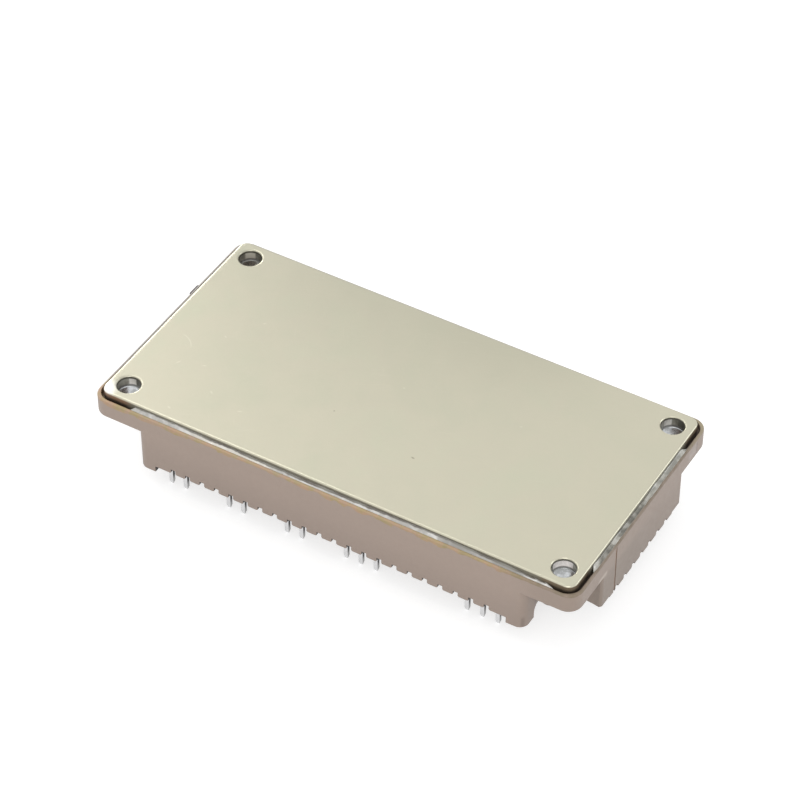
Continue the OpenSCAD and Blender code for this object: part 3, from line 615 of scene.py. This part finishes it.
def bead_material():
    """Glossy adhesive: dark against the plate and pale along the rim, in patches on the short sides, with a
    painted highlight and painted shade along the long sides.
    """
    m = Mat("adhesive_bead")
    m.set(Specular_IOR_Level=0.6, Coat_Weight=1.0, Coat_Roughness=0.06)
    x, y = m.axes()[:2]
    past_end = m.math("SUBTRACT", m.math("ABSOLUTE", x), PLATE_HALF_LENGTH * MM)
    past_side = m.math("SUBTRACT", m.math("ABSOLUTE", y), PLATE_HALF_WIDTH * MM)
    uneven = m.span(m.noise(2.4, detail=3), 0.3, 0.7, -0.12 * MM, 0.12 * MM)
    out = m.math("ADD", m.math("MAXIMUM", past_end, past_side), uneven)
    reach = m.ramp(m.along(x, -60, 60), [(at, (share, share, share)) for at, share in BEAD_REACH])
    beyond = m.math("SUBTRACT", out, m.times(reach, BEAD_GAP * MM))
    dark = m.mix(m.span(m.noise(6, detail=2), 0.4, 0.6), BEAD_BROWN, BEAD_OLIVE)
    pale = m.mix(m.span(m.noise(2.8, detail=2), 0.4, 0.6), BEAD_GREY, BEAD_PALE)
    for (low, high), soft, color in LONG_PAINTED_LIGHT_AND_SHADE:
        pale = m.mix(m.times(m.band(x, low, high, soft), 0.6), pale, color)
    tone = m.mix(m.along(beyond, -0.1, 0.1, soft=True), dark, pale)
    patch = m.ramp(m.noise(2.2, detail=2), BEAD_PATCHES)
    right = m.along(x, 0, 10)
    for (low, high), color in RIGHT_STRETCHES:
        patch = m.mix(m.times(m.band(y, low, high, 1.2), right, 0.4), patch, color)
    tone = m.mix(m.along(past_end, -0.1, 0.05), tone, patch)
    ripple = m.noise(0.9, detail=2)
    return m.finish(tone, m.span(ripple, 0.3, 0.7, 0.12, 0.26), m.bump(ripple, 0.3, 0.05))


# Each material of the parts inside: its nodes, colour, roughness and share of metal
INNER_PARTS = {
    "solder": (["substrate_solder", "chip_solder"], (0.6, 0.61, 0.62), 0.4, 1.0),
    "copper": (["substrate_back_copper", "power_tracks", "edge_pads", "gate_tracks"],
               (0.78, 0.45, 0.3), 0.35, 1.0),
    "ceramic": (["substrate_ceramic"], (0.88, 0.88, 0.86), 0.5, 0.0),
    "silicon": (["igbt_chips", "diode_chips"], (0.3, 0.31, 0.35), 0.2, 1.0),
    "sensor": (["thermistor"], (0.04, 0.04, 0.045), 0.5, 0.0),
    "bond": (["emitter_ribbons", "gate_wires", "terminal_ribbons"], (0.8, 0.81, 0.82), 0.3, 1.0),
    "gel": (["silicone_gel"], (0.8, 0.84, 0.85), 0.1, 0.0),
}


def inner_material(name, color, rough, metallic):
    """A plain, slightly uneven material for a part that doesn't show."""
    m = Mat(name)
    m.set(Metallic=metallic)
    patch = m.noise(2.5, detail=3)
    tone = m.mix(patch, tuple(c * 0.9 for c in color), color)
    return m.finish(tone, m.span(patch, 0.3, 0.7, rough - 0.05, rough + 0.1))


def dress(names, material):
    """Gives CAD nodes one material."""
    for name in names:
        data = nodes[name].data
        data.materials.clear()
        data.materials.append(material)


# One strip of the bead along each side. Turn is the way that the side faces, in degrees, and half the plate's
# half size toward it. The rest is in millimetres: where the strip starts and ends along the side, how much
# lower it lies than usual, its falls as start, end and depth, its swells as place, height and width, how far
# it has spilt over the rim, and the lengths of its tapered ends. Each has its own seed for its waves
BEAD_STRIPS = {
    "bead_front": dict(turn=-90, half=PLATE_HALF_WIDTH, start=-51.3, end=56.2, low=-0.04, seed=1.7,
                       falls=[(-40, -18, 0.2), (44, 51, 0.42)], taper=(1.6, 3.2),
                       swells=[(-47, 0.08, 5), (-31, -0.16, 1.6), (-24, 0.1, 5), (26, 0.4, 16),
                               (51.4, 0.16, 0.8), (54.0, 0.16, 0.8)]),
    "bead_right": dict(turn=0, half=PLATE_HALF_LENGTH, start=-22.0, end=21.6, low=0.2, seed=4.2, spill=0.26,
                       falls=[(-16, -13, 0.1)],
                       swells=[(-20.8, 0.55, 1.1), (-9.6, 0.34, 1.6), (3.4, -0.2, 1.6), (7.2, 0.42, 1.8),
                               (13.5, 0.2, 2.5), (18.8, 0.36, 1.6)]),
    "bead_back": dict(turn=90, half=PLATE_HALF_WIDTH, start=-53.1, end=51.9, low=0.16, seed=7.9,
                      falls=[(-20, 5, 0.18)], swells=[(-40, 0.15, 6), (22, 0.12, 8)]),
    "bead_left": dict(turn=180, half=PLATE_HALF_LENGTH, start=-20.7, end=21.9, low=0.2, seed=11.3,
                      falls=[(2, 9, 0.14)], swells=[(-12, 0.15, 3), (16, 0.18, 2)]),
}
# In millimetres: depths of the bead below the plate's face, how far it keeps from both walls of the gap, the
# usual length of its tapered ends, and the lengths of its wave, of its ripple and of the changes in its crown
BEAD_AT_PLATE = 0.78
BEAD_AT_RIM = 1.45
BEAD_FLOOR = 3.0
BEAD_SEAT = 0.02
BEAD_TAPER = 1.6
BEAD_WAVE = 7
BEAD_RIPPLE = 1.9
BEAD_CROWN = 4.5
# The film that has spilt over the rim: heights of its top and its underside over the rim's top, in millimetres
SPILL_TOP = 0.03
SPILL_UNDER = 0.005
# The distance between sections in millimetres, and the number of steps across each
BEAD_STEP = 0.35
BEAD_ACROSS = 8


def bell(s, at, width):
    """A swell of height 1 at one place."""
    return math.exp(-((s - at) / width) ** 2)


def ease(s, start, end):
    """0 at the start and 1 at the end, with a smooth rise between."""
    t = min(max((s - start) / (end - start), 0), 1)
    return t * t * (3 - 2 * t)


def bead_ring(s, strip):
    """Points of the bead's section at one place along a side, as (out from the plate, height)."""
    seed = strip["seed"]
    wave = noise.noise(Vector((s / BEAD_WAVE, seed, 0)))
    ripple = noise.noise(Vector((s / BEAD_RIPPLE, seed, 5)))
    crown = 0.03 + 0.05 * noise.noise(Vector((s / BEAD_CROWN, seed, 9)))
    lift = sum(height * bell(s, at, width) for at, height, width in strip["swells"])
    lift -= sum(depth * ease(s, start, end) for start, end, depth in strip["falls"])
    at_plate = -BEAD_AT_PLATE - strip["low"] + 0.1 * wave + 0.05 * ripple + lift
    at_rim = -BEAD_AT_RIM + 0.05 * ripple + 0.12 * lift
    # Towards its ends the bead clings to the rim and thins out
    start, end = strip["start"], strip["end"]
    at_start, at_end = strip.get("taper", (BEAD_TAPER, BEAD_TAPER))
    full = min(ease(s, start, start + at_start), ease(s, end, end - at_end))
    inner = BEAD_SEAT + (1 - full) * (BEAD_GAP - 4 * BEAD_SEAT)
    outer = BEAD_GAP - BEAD_SEAT
    at_plate = at_plate * full + (at_rim - 0.1) * (1 - full)
    at_rim -= 0.15 * (1 - full) ** 3
    ring = []
    for k in range(BEAD_ACROSS + 1):
        t = k / BEAD_ACROSS
        height = at_plate + (at_rim - at_plate) * t ** 0.55 + crown * full * math.sin(math.pi * t)
        ring.append((inner + (outer - inner) * t, height))
    if "spill" in strip:
        # Here it has run out over the rim in a thin film
        spread = strip["spill"] * (0.55 + 0.45 * wave + 0.4 * ripple) * full
        edge = outer + max(spread, SPILL_TOP)
        under = SPILL_UNDER - RIM_DEPTH
        ring[-1] = (outer, max(ring[-1][1], 2 * SPILL_TOP - RIM_DEPTH))
        ring += [(edge, SPILL_TOP - RIM_DEPTH), (edge, under), (outer, under)]
    return ring + [(outer, -BEAD_FLOOR), (inner, -BEAD_FLOOR)]


def tube_faces(stations, count):
    """Quads between rings of points from one station to the next, and one face over each end."""
    faces = []
    for a in range(stations):
        for k in range(count):
            after = (k + 1) % count
            faces.append([a * count + k, a * count + after, (a + 1) * count + after, (a + 1) * count + k])
    faces.append(list(reversed(range(count))))
    faces.append(list(range(stations * count, (stations + 1) * count)))
    return faces


def bead_strip(name, strip, material):
    """Builds one strip of the bead in place of its plain solid."""
    turn = math.radians(strip["turn"])
    out = Vector((math.cos(turn), math.sin(turn), 0))
    # Every strip is measured along +X or +Y of the module
    along = Vector((abs(out.y), abs(out.x), 0))
    length = strip["end"] - strip["start"]
    stations = round(length / BEAD_STEP)
    verts = []
    for k in range(stations + 1):
        s = strip["start"] + length * k / stations
        ring = bead_ring(s, strip)
        for reach, height in ring:
            verts.append(out * (strip["half"] + reach) + along * s + Vector((0, 0, height)))
    faces = tube_faces(stations, len(ring))
    if out.cross(along).z < 0:
        faces = [list(reversed(face)) for face in faces]
    mesh = bpy.data.meshes.new(name)
    mesh.from_pydata([v * MM for v in verts], [], faces)
    for polygon in mesh.polygons:
        polygon.use_smooth = True
    mesh.materials.append(material)
    obj = bpy.data.objects.new(name, mesh)
    bpy.context.scene.collection.objects.link(obj)
    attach(obj, "root")
    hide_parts("sealing_bead")


def seen_directly(tree):
    """1 for rays from the camera and for what metal and glass show, else 0."""
    path = tree.nodes.new("ShaderNodeLightPath")
    total = path.outputs["Is Camera Ray"]
    for name in ("Is Glossy Ray", "Is Transmission Ray"):
        add = tree.nodes.new("ShaderNodeMath")
        add.operation = "ADD"
        add.use_clamp = True
        tree.links.new(total, add.inputs[0])
        tree.links.new(path.outputs[name], add.inputs[1])
        total = add.outputs[0]
    return total


def floor():
    """A plain floor under the pins, which looks white to the camera and keeps the module's shadow."""
    half = FLOOR_HALF * MM
    z = cad_box[0][2]
    corners = [(-half, -half, z), (half, -half, z), (half, half, z), (-half, half, z)]
    mesh = bpy.data.meshes.new("floor")
    mesh.from_pydata(corners, [], [(0, 1, 2, 3)])
    obj = bpy.data.objects.new("floor", mesh)
    bpy.context.scene.collection.objects.link(obj)
    mat = bpy.data.materials.new("floor")
    mat.use_nodes = True
    tree = mat.node_tree
    bsdf = tree.nodes["Principled BSDF"]
    bsdf.inputs["Base Color"].default_value = (FLOOR_ALBEDO, FLOOR_ALBEDO, FLOOR_ALBEDO, 1)
    bsdf.inputs["Roughness"].default_value = 1
    bsdf.inputs["Specular IOR Level"].default_value = 0
    glow = tree.nodes.new("ShaderNodeEmission")
    strength = tree.nodes.new("ShaderNodeMath")
    strength.operation = "MULTIPLY"
    strength.inputs[1].default_value = FLOOR_GLOW
    add = tree.nodes.new("ShaderNodeAddShader")
    tree.links.new(seen_directly(tree), strength.inputs[0])
    tree.links.new(strength.outputs[0], glow.inputs["Strength"])
    tree.links.new(bsdf.outputs[0], add.inputs[0])
    tree.links.new(glow.outputs[0], add.inputs[1])
    tree.links.new(add.outputs[0], tree.nodes["Material Output"].inputs["Surface"])
    mesh.materials.append(mat)


def world():
    """A plain sky that lights the module from all sides, and shows as white."""
    made = bpy.data.worlds.new("studio")
    bpy.context.scene.world = made
    made.use_nodes = True
    tree = made.node_tree
    sky = tree.nodes["Background"]
    sky.inputs["Color"].default_value = (1, 1, 1, 1)
    sky.inputs["Strength"].default_value = WORLD_LEVEL
    white = tree.nodes.new("ShaderNodeBackground")
    white.inputs["Color"].default_value = (1, 1, 1, 1)
    mix = tree.nodes.new("ShaderNodeMixShader")
    tree.links.new(seen_directly(tree), mix.inputs[0])
    tree.links.new(sky.outputs[0], mix.inputs[1])
    tree.links.new(white.outputs[0], mix.inputs[2])
    tree.links.new(mix.outputs[0], tree.nodes["World Output"].inputs["Surface"])


def lamp(name, at, size, level, tint):
    """A soft box that faces the origin and is as bright as its level, where 1 is white."""
    data = bpy.data.lights.new(name, "AREA")
    data.shape = "RECTANGLE"
    data.size, data.size_y = (side * MM for side in size)
    data.energy = level * math.pi * data.size * data.size_y
    data.color = tint
    obj = bpy.data.objects.new(name, data)
    obj.location = Vector(at) * MM
    obj.rotation_euler = (-obj.location).to_track_quat("-Z", "Y").to_euler()
    bpy.context.scene.collection.objects.link(obj)


camera()
floor()
world()
for name, lit in LAMPS.items():
    lamp(name, **lit)

dress(["base_plate"], plate_material())
dress(["frame", "lid"], plastic_material())
dress(["mounting_bushes"], bush_material())
long_side_pins = [name for name in nodes if name.startswith(("front_pins_", "back_pins_"))]
short_side_pins = [name for name in nodes if name.startswith("left_pins_")]
dress(long_side_pins, pin_material("tinned_long_pin", 0))
dress(short_side_pins, pin_material("tinned_short_pin", 1))
for name, (parts, *look) in INNER_PARTS.items():
    dress(parts, inner_material(name, *look))

adhesive = bead_material()
dress(["sealing_bead"], adhesive)
for name, strip in BEAD_STRIPS.items():
    bead_strip(name, strip, adhesive)

bpy.context.scene.view_settings.view_transform = "Standard"
